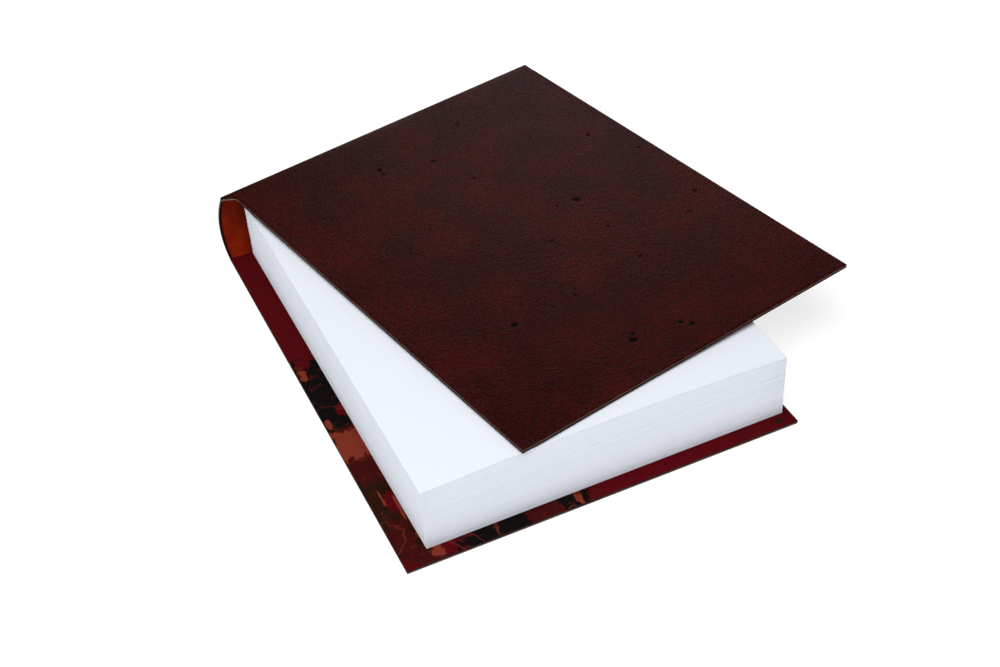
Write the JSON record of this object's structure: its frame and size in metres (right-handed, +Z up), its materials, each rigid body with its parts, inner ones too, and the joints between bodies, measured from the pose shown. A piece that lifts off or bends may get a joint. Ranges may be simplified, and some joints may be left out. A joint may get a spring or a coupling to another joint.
{
  "type": "scrapbook album",
  "caption": "Landscape scrapbook album: limp leather covers over thin board, decorated pastedowns, sewn block of blank white card leaves, front cover and leaves that turn.",
  "frame": {"origin": "centre of the back cover's underside, which rests on the table", "axes": "+X from the spine to the fore edge, +Y from the tail to the head of the pages, +Z up through the page block"},
  "size_m": [0.3406, 0.2927, 0.0483],
  "materials": {
    "cover_leather": "semi-gloss grained hide",
    "grey_board": "grey pasteboard",
    "decorated_paper": "mottled decorated paper",
    "white_card": "matt white card",
    "linen_tape": "woven linen tape",
    "linen_thread": "waxed linen thread",
    "mull": "open-weave cotton",
    "kraft_liner": "brown paper"
  },
  "bodies": {
    "back_cover": {"back_cover_leather": "cover_leather", "back_cover_board": "grey_board", "back_pastedown": "decorated_paper", "back_fold_leather": "cover_leather", "back_flyleaf": "white_card", "section_01": "white_card", "section_02": "white_card", "section_03": "white_card", "section_04": "white_card", "section_05": "white_card", "section_06": "white_card", "section_07": "white_card", "section_08": "white_card", "section_09": "white_card", "section_10": "white_card", "section_11": "white_card", "linen_tape_tail": "linen_tape", "linen_tape_middle": "linen_tape", "linen_tape_head": "linen_tape", "sewing_thread": "linen_thread", "spine_mull": "mull", "spine_paper_liner": "kraft_liner"},
    "spine": {"spine_leather": "cover_leather"},
    "front_fold": {"front_fold_leather": "cover_leather"},
    "front_cover": {"front_cover_leather": "cover_leather", "front_cover_board": "grey_board", "front_pastedown": "decorated_paper"},
    "top_section": {"section_12": "white_card"},
    "front_flyleaf": {"front_flyleaf": "white_card"}
  },
  "joints": [
    {"name": "spine_hinge", "type": "hinge", "parent": "back_cover", "child": "spine", "pos_m": [-0.14525, 0, 0.00125], "axis": [0, -1, 0], "range_deg": [0, 75], "deforming": ["spine_leather"]},
    {"name": "front_cover_straighten", "type": "hinge", "parent": "spine", "child": "front_fold", "pos_m": [-0.18849, -0.1123, 0.04705], "axis": [0, 0, -1], "range_deg": [0, 11.9]},
    {"name": "front_cover_hinge", "type": "hinge", "parent": "front_fold", "child": "front_cover", "pos_m": [-0.14578, -0.10529, 0.04705], "axis": [0.2062, -0.9785, 0], "range_deg": [0, 107]},
    {"name": "top_section_turn", "type": "hinge", "parent": "back_cover", "child": "top_section", "pos_m": [-0.1426, 0, 0.03865], "axis": [0, -1, 0], "range_deg": [0, 77.25]},
    {"name": "flyleaf_turn", "type": "hinge", "parent": "top_section", "child": "front_flyleaf", "pos_m": [-0.1426, 0, 0.0419], "axis": [0, -1, 0], "range_deg": [0, 107]}
  ],
  "couplings": [
    {"joint": "front_cover_straighten", "follows": "spine_hinge", "ratio": 0.15867},
    {"joint": "top_section_turn", "follows": "spine_hinge", "ratio": 1.03},
    {"joint": "flyleaf_turn", "follows": "front_cover_hinge", "ratio": 1}
  ]
}
